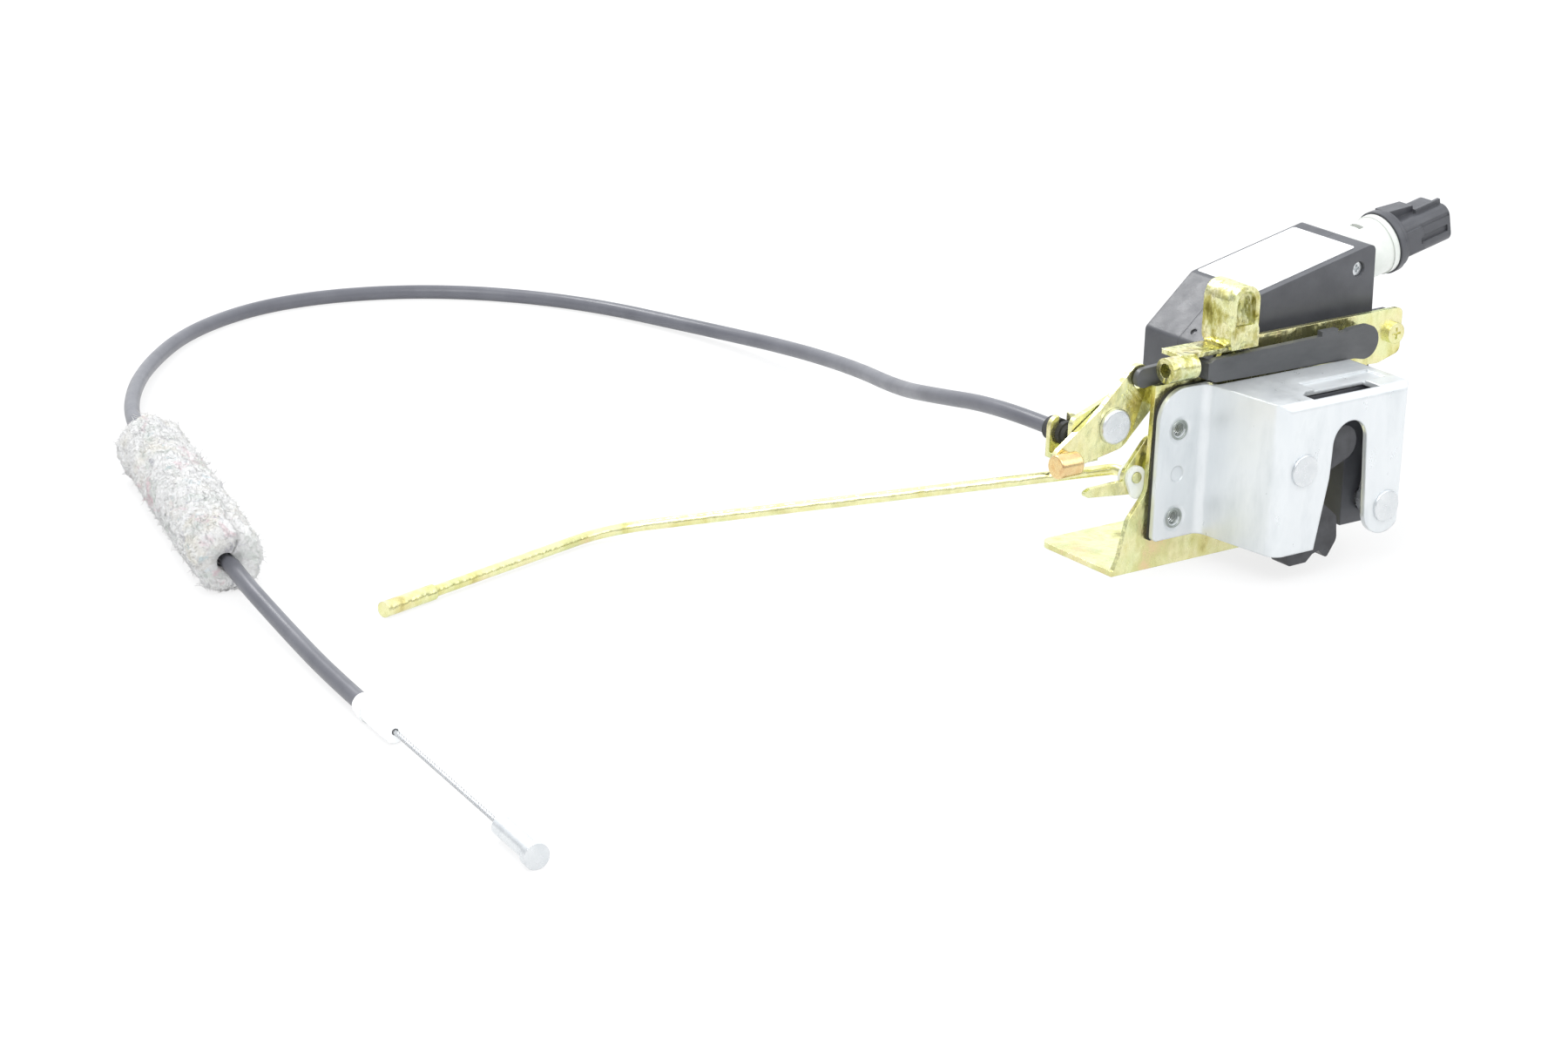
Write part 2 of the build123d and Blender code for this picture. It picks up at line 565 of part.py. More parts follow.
def grommet():
    x, z = earAt
    body = loft([Plane(origin=(x, earY - 2, z), z_dir=(0, -1, 0)) * Circle(3.6),
                 Plane(origin=(x, earY - 3.1, z), z_dir=(0, -1, 0)) * Circle(2.6)])
    return body - disc(x, z, wireD / 2 + 0.3, earY - 9, earY)


def nearWire():
    """Core of the cable between the sheath's end and the lever's barrel."""
    x, z = earAt
    path = FilletPolyline((x, 31, z), (x, 18.8, z), (-44.6, 13.2, 10.4), radius=3)
    wire = sweep(Plane(origin=path @ 0, z_dir=path % 0) * Circle(wireD / 2), path=path)
    return wire


def farCap():
    """Plastic end cap that closes the sheath; the core slides through it."""
    cap = along(sheathRoute, 0, 26, 3.9) + along(sheathRoute, 3, 4, 4.3)
    return cap - along(sheathRoute, -1, 28, wireD / 2 + 0.3)


def farCore():
    """Bare core and the zinc nipple cast on it."""
    core = along(sheathRoute, 10, 96, wireD / 2)
    return core + along(sheathRoute, 106, 22, 3.2) + along(sheathRoute, 128, 3, 4.2)


def lockRivet():
    x, z = lockPin
    return disc(x, z, 2.5, plateFront + 0.1, lockBack + 0.2) + disc(x, z, 3.9, lockBack + 0.2, lockBack + 1.6)


def guideRivet():
    body = disc(31, 38, 3.6, plateFront - 1.3, plateFront) + disc(31, 38, 2.0, plateFront, plateBack + 1.8)
    return body + disc(31, 38, 3.2, plateBack + 1.8, plateBack + 3.0)


def label():
    """Blank label on the sloping top of the actuator."""
    run = (102.6 - 46, 68.6 - 56.6)
    length, slope = math.hypot(*run), math.degrees(math.atan2(run[1], run[0]))
    middle = (46 + run[0] / 2, (actFront + actBack) / 2, 56.6 + run[1] / 2)
    sheet = extrude(RectangleRounded(length - 9, actBack - actFront - 4.4, 1.2), 0.25)
    return Pos(*middle) * Rot(0, -slope, 0) * Pos(-3.0, 1.0, 0) * sheet


def forkSpring():
    return coilSpring(*forkPin, 6.4, 1.5, forkBack + 2.2, 4)


def pawlSpring():
    return coilSpring(*pawlPin, 3.9, 0.9, forkBack + 2.0, 6)


if __name__ == "__main__":
    makers = {
        "case_shell": caseShell, "fork": forkClaw, "pawl": pawlLever,
        "fork_pin": lambda: rivet(*forkPin, forkPinR, faceY, plateBack),
        "pawl_pin": lambda: rivet(*pawlPin, pawlPinR, faceY, plateBack),
        "latch_housing": latchHousing, "overslam_bumper": overslamBumper, "gasket": gasket,
        "main_bracket": mainBracket, "release_lever": releaseLever, "release_rivet": releaseRivet,
        "bush_barrel": bushBarrel, "link_bar": linkBar, "pawl_lifter": pawlLifter,
        "lifter_rivet": lifterRivet, "bar_guide": barGuide, "lock_lever": lockLever,
        "rod_clip": rodClip, "lock_rod": lockRod, "actuator_front": frontShell,
        "actuator_rear": rearShell, "cover_screws": coverScrews, "bracket_screws": bracketScrews,
        "output_gear": outputGear, "crank": crank, "motor_pinion": motorPinion, "motor": motorCan,
        "connector_neck": connectorNeck, "connector_socket": socketShell, "terminals": terminals,
        "cable_sheath": lambda: cordTube(sheathRoute, sheathD), "felt_sleeve": felt,
        "sheath_ferrule": sheathFerrule, "cable_grommet": grommet, "near_wire": nearWire,
        "cable_end_cap": farCap, "cable_nipple": farCore, "lock_rivet": lockRivet,
        "guide_rivet": guideRivet, "label": label, "fork_spring": forkSpring, "pawl_spring": pawlSpring,
    }
    for name, make in makers.items():
        save(make(), name)
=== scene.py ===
import math

import bpy
from mathutils import Matrix, Vector, noise


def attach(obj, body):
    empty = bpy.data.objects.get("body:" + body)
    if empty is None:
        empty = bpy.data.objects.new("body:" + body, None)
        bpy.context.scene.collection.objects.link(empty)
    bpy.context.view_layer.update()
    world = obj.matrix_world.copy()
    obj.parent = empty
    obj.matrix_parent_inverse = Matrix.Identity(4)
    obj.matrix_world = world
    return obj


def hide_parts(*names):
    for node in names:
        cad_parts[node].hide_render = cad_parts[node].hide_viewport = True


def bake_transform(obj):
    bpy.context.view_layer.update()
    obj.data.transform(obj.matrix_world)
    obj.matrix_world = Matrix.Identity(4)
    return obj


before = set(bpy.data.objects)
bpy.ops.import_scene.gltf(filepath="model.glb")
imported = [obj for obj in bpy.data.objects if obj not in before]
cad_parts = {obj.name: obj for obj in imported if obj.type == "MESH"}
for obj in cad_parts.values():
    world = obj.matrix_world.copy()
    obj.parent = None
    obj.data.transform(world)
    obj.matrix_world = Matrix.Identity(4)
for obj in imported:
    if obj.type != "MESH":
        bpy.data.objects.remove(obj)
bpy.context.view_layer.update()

mm = 0.001
tableZ = -35.5  # height of the table, in millimetres


def link(piece):
    bpy.context.collection.objects.link(piece)
    return piece


# place, lens and film width in millimetres, angles in degrees, clipping in metres
camera = {"place": (-927.9, -992.2, 444.5), "yaw": 37.2, "tilt": 19.1, "roll": 2.03, "lens": 91.76,
          "film": 36.0, "nearest": 0.05, "farthest": 30.0}


def turnAbout(axis, degrees):
    return Matrix.Rotation(math.radians(degrees), 4, axis)


def placeCamera():
    data = bpy.data.cameras.new("camera")
    data.lens = camera["lens"]
    data.sensor_width = camera["film"]
    data.clip_start = camera["nearest"]
    data.clip_end = camera["farthest"]
    eye = link(bpy.data.objects.new("camera", data))
    turn = turnAbout("Z", -camera["yaw"]) @ turnAbout("X", 90 - camera["tilt"])
    turn = turn @ turnAbout("Z", camera["roll"])
    eye.matrix_world = Matrix.Translation(Vector(camera["place"]) * mm) @ turn
    bpy.context.scene.camera = eye


# square area lights, in metres and watts
lamps = {
    "keyLight": {"place": (-1.1, -0.7, 1.5), "target": (-0.05, 0.1, 0), "size": 1.0, "power": 11.6},
    "fillLight": {"place": (0.9, -1.2, 1.0), "target": (0, 0, 0), "size": 1.2, "power": 4.8},
    "backLight": {"place": (-0.21, 1.39, 1.49), "target": (0.03, 0.03, 0.05), "size": 0.55, "power": 14},
}


def areaLight(name, place, target, size, power):
    data = bpy.data.lights.new(name, "AREA")
    data.shape = "SQUARE"
    data.size = size
    data.energy = power
    lamp = link(bpy.data.objects.new(name, data))
    aim = Vector(target) - Vector(place)
    lamp.matrix_world = Matrix.Translation(place) @ aim.to_track_quat("-Z", "Y").to_matrix().to_4x4()


# fills one material, world or geometry tree; an input takes a value, a socket, or a node's first output
class Nodes:
    def __init__(self, owner):
        self.tree = owner
        if not isinstance(owner, bpy.types.NodeTree):
            owner.use_nodes = True
            self.tree = owner.node_tree
        self.tree.nodes.clear()

    def fill(self, socket, value):
        if isinstance(value, bpy.types.Node):
            value = value.outputs[0]
        if isinstance(value, bpy.types.NodeSocket):
            self.tree.links.new(value, socket)
        else:
            socket.default_value = value

    # numbered values go to the first inputs; named ones are settings of the node, or inputs by name
    def add(self, kind, *numbered, **named):
        node = self.tree.nodes.new(kind)
        for key, value in named.items():
            if hasattr(node, key):
                setattr(node, key, value)
            else:
                self.fill(node.inputs[key.replace("_", " ")], value)
        for socket, value in zip(node.inputs, numbered):
            self.fill(socket, value)
        return node

    def mapRange(self, value, given, wanted=(0.0, 1.0), **named):
        return self.add("ShaderNodeMapRange", Value=value, From_Min=given[0], From_Max=given[1],
                        To_Min=wanted[0], To_Max=wanted[1], **named)

    def mixColours(self, factor, first, second, kind="MIX"):
        node = self.add("ShaderNodeMix", data_type="RGBA", blend_type=kind, Factor=factor, A=first, B=second)
        return node.outputs["Result"]

    def ramp(self, colours, value):
        node = self.add("ShaderNodeValToRGB", Fac=value)
        stops = node.color_ramp.elements
        while len(stops) < len(colours):
            stops.new(0.5)
        low, high = finish["colourSpan"]
        for k, colour in enumerate(colours):
            stops[k].position = low + (high - low) * k / (len(colours) - 1)
            stops[k].color = (*colour, 1)
        return node


# white paper on the table; to the camera it is mostly plain white, so that only soft shadows show
paper = {"size": 8, "cells": 4, "grey": 0.9, "glow": 0.8}


def makeFloor():
    cells = paper["cells"]
    bpy.ops.mesh.primitive_grid_add(x_subdivisions=cells, y_subdivisions=cells, size=paper["size"],
                                    location=(0, 0, 0))
    floor = bpy.context.object
    floor.name = "floor"
    for vertex in floor.data.vertices:
        vertex.co.z = tableZ * mm
    material = bpy.data.materials.new("floorPaper")
    n = Nodes(material)
    path = n.add("ShaderNodeLightPath").outputs
    seen = n.add("ShaderNodeMath", path["Is Camera Ray"], path["Is Glossy Ray"], operation="MAXIMUM")
    share = n.add("ShaderNodeMath", seen, paper["glow"], operation="MULTIPLY")
    dull = n.add("ShaderNodeBsdfDiffuse", Color=(*[paper["grey"]] * 3, 1))
    glow = n.add("ShaderNodeEmission", Strength=1.0)
    n.add("ShaderNodeOutputMaterial", Surface=n.add("ShaderNodeMixShader", share, dull, glow))
    floor.data.materials.append(material)


# white where the camera sees it; light and reflections get a bright backdrop behind and overhead and a
# dimmer room in front, and the two spans say where the brightness rises
room = {"front": 0.34, "back": 1.4, "colour": (0.95, 0.97, 1.0), "backdropSide": (0.66, 0.75, 0.0),
        "overheadSpan": (-0.05, 0.75), "behindSpan": (0.1, 0.8)}


def makeWorld():
    world = bpy.data.worlds.new("studio")
    bpy.context.scene.world = world
    n = Nodes(world)
    path = n.add("ShaderNodeLightPath").outputs
    seen = n.add("ShaderNodeMath", path["Is Camera Ray"], path["Is Transmission Ray"], operation="MAXIMUM")
    place = n.add("ShaderNodeTexCoord").outputs["Generated"]
    height = n.add("ShaderNodeSeparateXYZ", place).outputs["Z"]
    side = n.add("ShaderNodeVectorMath", place, room["backdropSide"], operation="DOT_PRODUCT")
    overhead = n.mapRange(height, room["overheadSpan"], interpolation_type="SMOOTHSTEP")
    behind = n.mapRange(side.outputs["Value"], room["behindSpan"], interpolation_type="SMOOTHSTEP")
    brighter = n.add("ShaderNodeMath", overhead, behind, operation="MAXIMUM")
    strength = n.mapRange(brighter, (0.0, 1.0), (room["front"], room["back"]))
    plain = n.add("ShaderNodeBackground", Color=(*room["colour"], 1), Strength=strength)
    white = n.add("ShaderNodeBackground", Color=(1, 1, 1, 1), Strength=1.0)
    n.add("ShaderNodeOutputWorld", Surface=n.add("ShaderNodeMixShader", seen, plain, white))


# colours run from low to high along a cloud pattern; rough is the range of the gloss, edge the softened
# edge in millimetres, wave the slow ripple of pressed and plated sheet
coats = {
    "zincCase": {
        "colours": [(0.60, 0.635, 0.65), (0.745, 0.77, 0.78), (0.68, 0.71, 0.725)], "scale": 55,
        "stretch": (1, 1, 0.35), "rough": (0.26, 0.42), "metallic": 0.5, "grain": 900, "bump": 0.10,
        "edge": 0.9},
    "yellowChromate": {
        "colours": [(0.42, 0.36, 0.10), (0.76, 0.72, 0.32), (0.88, 0.86, 0.50), (0.72, 0.70, 0.34),
                    (0.82, 0.66, 0.38)],
        "scale": 70, "stretch": (1, 1, 0.6), "rough": (0.16, 0.34), "metallic": 0.95, "grain": 700,
        "bump": 0.12, "edge": 0.35, "sheen": True, "wave": 0.55},
    "mottledChromate": {
        "colours": [(0.20, 0.17, 0.03), (0.50, 0.46, 0.14), (0.90, 0.89, 0.54), (0.60, 0.57, 0.22),
                    (0.86, 0.76, 0.42)],
        "scale": 150, "stretch": (1, 1, 0.55), "rough": (0.14, 0.40), "metallic": 0.95, "grain": 700,
        "bump": 0.16, "edge": 0.35, "sheen": True, "wave": 0.8},
    "paleZinc": {
        "colours": [(0.66, 0.69, 0.71), (0.80, 0.82, 0.83)], "scale": 160, "stretch": (1, 1, 1),
        "rough": (0.22, 0.40), "metallic": 0.9, "grain": 1100, "bump": 0.12, "edge": 0.3},
    "copperZinc": {
        "colours": [(0.78, 0.50, 0.22), (0.86, 0.66, 0.34), (0.66, 0.38, 0.18)], "scale": 210,
        "stretch": (1, 1, 1), "rough": (0.18, 0.36), "metallic": 0.95, "grain": 900, "bump": 0.1,
        "edge": 0.3},
    "blackSteel": {
        "colours": [(0.070, 0.073, 0.076), (0.115, 0.118, 0.122)], "scale": 90, "stretch": (0.4, 1, 1),
        "rough": (0.34, 0.54), "metallic": 0.2, "grain": 1500, "bump": 0.15, "edge": 0.4},
    "forkCoat": {
        "colours": [(0.020, 0.020, 0.023), (0.060, 0.062, 0.068)], "scale": 120, "stretch": (1, 1, 1),
        "rough": (0.30, 0.52), "metallic": 0.0, "grain": 1300, "bump": 0.12, "edge": 0.5},
    "blackPlastic": {
        "colours": [(0.060, 0.062, 0.070), (0.092, 0.095, 0.105)], "scale": 70, "stretch": (1, 1, 1),
        "rough": (0.32, 0.44), "metallic": 0.0, "grain": 2200, "bump": 0.22, "edge": 0.7},
    "rubberBlack": {
        "colours": [(0.022, 0.022, 0.022), (0.040, 0.040, 0.040)], "scale": 180, "stretch": (1, 1, 1),
        "rough": (0.55, 0.75), "metallic": 0.0, "grain": 1500, "bump": 0.3, "edge": 0.3},
    "whiteNylon": {
        "colours": [(0.68, 0.71, 0.66), (0.80, 0.81, 0.77)], "scale": 120, "stretch": (1, 1, 1),
        "rough": (0.32, 0.46), "metallic": 0.0, "grain": 1200, "bump": 0.1, "edge": 0.5, "milky": 0.35},
    "capNylon": {
        "colours": [(0.84, 0.85, 0.84), (0.90, 0.91, 0.90)], "scale": 120, "stretch": (1, 1, 1),
        "rough": (0.32, 0.46), "metallic": 0.0, "grain": 1200, "bump": 0.1, "edge": 0.5, "milky": 0.35},
    "labelPaper": {
        "colours": [(0.86, 0.87, 0.88), (0.93, 0.93, 0.93)], "scale": 160, "stretch": (1, 1, 1),
        "rough": (0.38, 0.5), "metallic": 0.0, "grain": 1900, "bump": 0.08, "edge": 0.1},
    "cableSheath": {
        "colours": [(0.090, 0.092, 0.108), (0.140, 0.143, 0.162)], "scale": 40, "stretch": (1, 1, 1),
        "rough": (0.28, 0.40), "metallic": 0.0, "grain": 1500, "bump": 0.15, "edge": 0.0},
    "springSteel": {
        "colours": [(0.30, 0.30, 0.31), (0.48, 0.48, 0.49)], "scale": 300, "stretch": (1, 1, 1),
        "rough": (0.25, 0.4), "metallic": 0.95, "grain": 900, "bump": 0.1, "edge": 0.0},
    "holeSteel": {
        "colours": [(0.30, 0.33, 0.31), (0.44, 0.47, 0.44)], "scale": 260, "stretch": (1, 1, 1),
        "rough": (0.28, 0.44), "metallic": 0.85, "grain": 900, "bump": 0.1, "edge": 0.0},
    "motorSteel": {
        "colours": [(0.50, 0.51, 0.53), (0.64, 0.65, 0.67)], "scale": 200, "stretch": (1, 1, 1),
        "rough": (0.22, 0.4), "metallic": 0.95, "grain": 900, "bump": 0.1, "edge": 0.3},
    "gearAcetal": {
        "colours": [(0.78, 0.77, 0.70), (0.86, 0.85, 0.79)], "scale": 150, "stretch": (1, 1, 1),
        "rough": (0.36, 0.5), "metallic": 0.0, "grain": 900, "bump": 0.1, "edge": 0.2, "milky": 0.2},
}

# what the coats share: the spans of the noise that colours and gloss use, the noise itself, and depths in
# millimetres
finish = {
    "colourSpan": (0.28, 0.72), "clouds": {"Detail": 5.0, "Roughness": 0.6},
    "glossSpan": (0.3, 0.7), "glossScale": 2.7, "gloss": {"Detail": 6.0, "Roughness": 0.65},
    "grain": {"Detail": 3.0}, "grainDepth": 0.2, "ripple": {"Scale": 190.0, "Detail": 2.0},
    "rippleDepth": 1.2, "edgeSamples": 4, "milkDepth": 4.0, "sheenBlend": 0.45,
    "blush": {"Scale": 95.0, "Detail": 2.0},
    "sheenColours": [(0.95, 0.80, 0.86), (0.96, 0.98, 0.90), (0.72, 0.94, 0.84)],
}

nodeCoats = {
    "case_shell": "zincCase", "gasket": "rubberBlack", "main_bracket": "yellowChromate",
    "fork_pin": "paleZinc", "pawl_pin": "paleZinc", "latch_housing": "blackPlastic",
    "overslam_bumper": "rubberBlack", "fork": "forkCoat", "pawl": "paleZinc",
    "release_lever": "yellowChromate", "release_rivet": "paleZinc", "bush_barrel": "copperZinc",
    "link_bar": "blackSteel", "pawl_lifter": "yellowChromate", "lifter_rivet": "paleZinc",
    "bar_guide": "mottledChromate", "guide_rivet": "paleZinc", "lock_lever": "yellowChromate",
    "lock_rivet": "paleZinc", "rod_clip": "whiteNylon", "lock_rod": "yellowChromate",
    "actuator_front": "blackPlastic", "actuator_rear": "blackPlastic", "cover_screws": "paleZinc",
    "bracket_screws": "yellowChromate", "output_gear": "gearAcetal", "crank": "blackPlastic",
    "motor_pinion": "copperZinc", "motor": "motorSteel", "connector_neck": "whiteNylon",
    "connector_socket": "blackPlastic", "terminals": "copperZinc", "label": "labelPaper",
    "sheath_ferrule": "rubberBlack", "cable_grommet": "rubberBlack", "near_wire": "springSteel",
    "cable_end_cap": "capNylon", "cable_nipple": "paleZinc", "fork_spring": "springSteel",
    "pawl_spring": "springSteel",
}


# one finish: cloudy colour, uneven gloss, fine grain and softened edges
def coat(name):
    s = coats[name]
    material = bpy.data.materials.new(name)
    n = Nodes(material)
    place = n.add("ShaderNodeTexCoord").outputs["Object"]
    spread = n.add("ShaderNodeMapping", Vector=place, Scale=s["stretch"])
    clouds = n.add("ShaderNodeTexNoise", Vector=spread, Scale=s["scale"], **finish["clouds"])
    gloss = n.add("ShaderNodeTexNoise", Vector=spread, Scale=s["scale"] * finish["glossScale"],
                  **finish["gloss"])
    grain = n.add("ShaderNodeTexNoise", Vector=place, Scale=s["grain"], **finish["grain"])
    bump = n.add("ShaderNodeBump", Strength=s["bump"], Distance=finish["grainDepth"] * mm, Height=grain)
    under = bump
    if "wave" in s:
        ripple = n.add("ShaderNodeTexNoise", Vector=place, **finish["ripple"])
        under = n.add("ShaderNodeBump", Strength=s["wave"], Distance=finish["rippleDepth"] * mm,
                      Height=ripple)
        n.fill(bump.inputs["Normal"], under)
    if s["edge"]:
        edge = n.add("ShaderNodeBevel", samples=finish["edgeSamples"], Radius=s["edge"] * mm)
        n.fill(under.inputs["Normal"], edge)
    colour = n.ramp(s["colours"], clouds)
    if "sheen" in s:
        facing = n.add("ShaderNodeLayerWeight", Blend=finish["sheenBlend"]).outputs["Facing"]
        blush = n.add("ShaderNodeTexNoise", Vector=place, **finish["blush"])
        colour = n.mixColours(facing, colour, n.ramp(finish["sheenColours"], blush), "MULTIPLY")
    shader = n.add("ShaderNodeBsdfPrincipled", Base_Color=colour, Metallic=s["metallic"],
                   Roughness=n.mapRange(gloss, finish["glossSpan"], s["rough"]), Normal=bump)
    if "milky" in s:
        n.fill(shader.inputs["Subsurface Weight"], s["milky"])
        n.fill(shader.inputs["Subsurface Radius"], [finish["milkDepth"] * mm] * 3)
    n.add("ShaderNodeOutputMaterial", Surface=shader)
    return material


def coatNodes():
    made = {name: coat(name) for name in coats}
    for node, name in nodeCoats.items():
        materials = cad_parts[node].data.materials
        materials.clear()
        materials.append(made[name])
    return made


# the cable's route, in millimetres: out of the ear, down to the table and round to the far end
sheathRoute = [
    (-33.5, 31, 14.5), (-33.5, 60, 14.5), (-26, 108, 4.5), (-8, 150, -7), (13, 205, -16.5),
    (24.5, 262, -25), (24, 318, -31.5), (1, 388, tableZ + 3), (-45, 434, tableZ + 3),
    (-105, 450, tableZ + 3), (-160, 432, tableZ + 3), (-207, 387, tableZ + 4.2),
    (-243, 331, tableZ + 8.4), (-262, 281, tableZ + 12.2), (-301, 148, tableZ + 12.2),
    (-307, 96, tableZ + 5.4), (-314, 57, tableZ + 4.4), (-318, 29.5, tableZ + 4.4)]

# millimetres; order and steps are the curve's, roundness sets the sides of the tube
sheath = {"diameter": 6.0, "length": 996.9, "order": 3, "steps": 24, "roundness": 6}


def makeSheath(made):
    curve = bpy.data.curves.new("cableSheath", "CURVE")
    curve.dimensions = "3D"
    spline = curve.splines.new("NURBS")
    spline.points.add(len(sheathRoute) - 1)
    for point, place in zip(spline.points, sheathRoute):
        point.co = (*(c * mm for c in place), 1)
    spline.order_u = sheath["order"]
    spline.use_endpoint_u = True
    spline.resolution_u = sheath["steps"]
    curve.bevel_depth = sheath["diameter"] / 2 * mm
    curve.bevel_resolution = sheath["roundness"]
    curve.use_fill_caps = True
    curve.materials.append(made["cableSheath"])
    piece = link(bpy.data.objects.new("cableSheath", curve))
    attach(piece, "latch_frame")
    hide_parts("cable_sheath")
    return piece


# each clot has a noise scale, the noise where it starts and where it is full, and its colour; the depth of
# the nap is in millimetres
wool = {
    "colour": (0.93, 0.925, 0.91), "drift": (0.37, 0.11, 0.23), "stretch": (1.0, 0.55, 1.0),
    "clots": [(85.0, 0.52, 0.70, (0.86, 0.83, 0.75)), (105.0, 0.55, 0.71, (0.70, 0.74, 0.69)),
              (115.0, 0.58, 0.72, (0.86, 0.67, 0.70)), (140.0, 0.59, 0.71, (0.52, 0.51, 0.56)),
              (190.0, 0.66, 0.74, (0.28, 0.28, 0.30)), (180.0, 0.63, 0.73, (0.68, 0.78, 0.80))],
    "clotNoise": {"Detail": 4.0, "Roughness": 0.6, "Distortion": 0.7},
    "nap": {"Scale": 620.0, "Detail": 7.0, "Roughness": 0.8, "Distortion": 2.2}, "napDepth": 0.8,
    "paintedNapShadeSpan": (0.36, 0.62), "paintedNapShade": (0.9, 1.0), "rough": 0.95, "sheen": 0.3,
}


# matted waste fibre: off-white, with soft clots of other colours laid over it one by one, and painted shade
# in the low spots of the nap
def woolMaterial():
    material = bpy.data.materials.new("recycledFelt")
    n = Nodes(material)
    place = n.add("ShaderNodeTexCoord").outputs["Object"]
    colour = (*wool["colour"], 1)
    for k, (scale, low, high, clotColour) in enumerate(wool["clots"]):
        spot = n.add("ShaderNodeMapping", Vector=place, Location=[k * c for c in wool["drift"]],
                     Scale=wool["stretch"])
        clot = n.add("ShaderNodeTexNoise", Vector=spot, Scale=scale, **wool["clotNoise"])
        colour = n.mixColours(n.mapRange(clot, (low, high)), colour, (*clotColour, 1))
    nap = n.add("ShaderNodeTexNoise", Vector=place, **wool["nap"])
    bump = n.add("ShaderNodeBump", Strength=1.0, Distance=wool["napDepth"] * mm, Height=nap)
    # painted shade: the colour darkens where the nap's bump is low, as if shade fell in its hollows
    paintedNapShade = n.mapRange(nap, wool["paintedNapShadeSpan"], wool["paintedNapShade"])
    shader = n.add("ShaderNodeBsdfPrincipled", Base_Color=n.mixColours(1.0, colour, paintedNapShade, "MULTIPLY"),
                   Roughness=wool["rough"], Sheen_Weight=wool["sheen"], Normal=bump)
    n.add("ShaderNodeOutputMaterial", Surface=shader)
    return material


# rolled felt sleeve, in millimetres; angles in radians round the sleeve, from its left side upwards; each
# lump is a noise scale and a height
felt = {
    "start": sheathRoute[13], "end": sheathRoute[14], "lead": 3.0, "length": 134.0,
    "radius": 12.3, "bore": 3.4, "shift": (-1.0, 0.4), "aboveTable": 0.15, "around": 144, "along": 380,
    "seam": {"angle": 2.0, "width": 0.2, "narrowing": 0.5, "depth": 1.6, "endDepth": 8.6, "opensAt": 0.78,
             "wander": 0.25, "wanderScale": 6},
    "lumpScale": (9, 1.3), "fray": {"from": 0.46, "width": 0.04, "depth": 1.8},
    "lumps": [(1.0, 1.0), (3.1, 0.7), (9.7, 0.5), (27, 0.4), (71, 0.35), (150, 0.2)],
}


def feltAxes():
    start, end = (Vector(felt[k]) * mm for k in ("start", "end"))
    run = (end - start).normalized()
    side = run.cross(Vector((0, 0, 1))).normalized()
    return start + run * felt["lead"] * mm, run, side, side.cross(run)


# a point of the sleeve; its outside sits a little off the cable, and nothing goes under the table
def feltPoint(u, angle, radius, onBore=False):
    origin, run, side, up = feltAxes()
    outward = side * math.cos(angle) + up * math.sin(angle)
    spot = origin + run * (u * felt["length"] * mm) + outward * radius * mm
    if not onBore:
        spot += (side * felt["shift"][0] + up * felt["shift"][1]) * mm
    spot.z = max(spot.z, (tableZ + felt["aboveTable"]) * mm)
    return spot


# lumpy outside of the rolled felt, frayed at both ends, with the seam gaping towards the lower end
def feltRadius(u, angle):
    seam, fray = felt["seam"], felt["fray"]
    along, across = felt["lumpScale"]
    at = Vector((u * along, math.cos(angle) * across, math.sin(angle) * across))
    lump = sum(noise.noise(at * scale) * size for scale, size in felt["lumps"])
    frayed = max(0, abs(u - 0.5) - fray["from"]) / fray["width"]
    swing = noise.noise(Vector((u * seam["wanderScale"], 0, 4))) * seam["wander"]
    gape = max(0, u - seam["opensAt"]) / (1 - seam["opensAt"])
    width = seam["width"] * (1 - seam["narrowing"] * gape)
    away = math.remainder(angle - seam["angle"] - swing, 2 * math.pi) / width
    depth = seam["depth"] + (seam["endDepth"] - seam["depth"]) * gape ** 2
    return felt["radius"] + lump - fray["depth"] * frayed ** 2 - depth * math.exp(-away * away)


# hollow closes the sleeve along its bore; without it the mesh is only the skin and the two ends
def feltMesh(name, hollow):
    rows, cols = felt["along"], felt["around"]
    angles = [2 * math.pi * j / cols for j in range(cols)]
    points = [feltPoint(i / rows, a, feltRadius(i / rows, a)) for i in range(rows + 1) for a in angles]
    inner = len(points)
    points += [feltPoint(u, a, felt["bore"], True) for u in (0, 1) for a in angles]
    faces = []
    for j in range(cols):
        k = (j + 1) % cols
        faces += [(i * cols + j, i * cols + k, (i + 1) * cols + k, (i + 1) * cols + j) for i in range(rows)]
        faces.append((j, inner + j, inner + k, k))
        faces.append((rows * cols + k, inner + cols + k, inner + cols + j, rows * cols + j))
        if hollow:
            faces.append((inner + j, inner + cols + j, inner + cols + k, inner + k))
    mesh = bpy.data.meshes.new(name)
    mesh.from_pydata(points, [], faces)
    mesh.validate()
    mesh.update()
    for face in mesh.polygons:
        face.use_smooth = True
    return mesh


def makeFelt(material):
    mesh = feltMesh("feltSleeve", True)
    piece = link(bpy.data.objects.new("feltSleeve", mesh))
    mesh.materials.append(material)
    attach(piece, "latch_frame")
    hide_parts("felt_sleeve")
    return piece


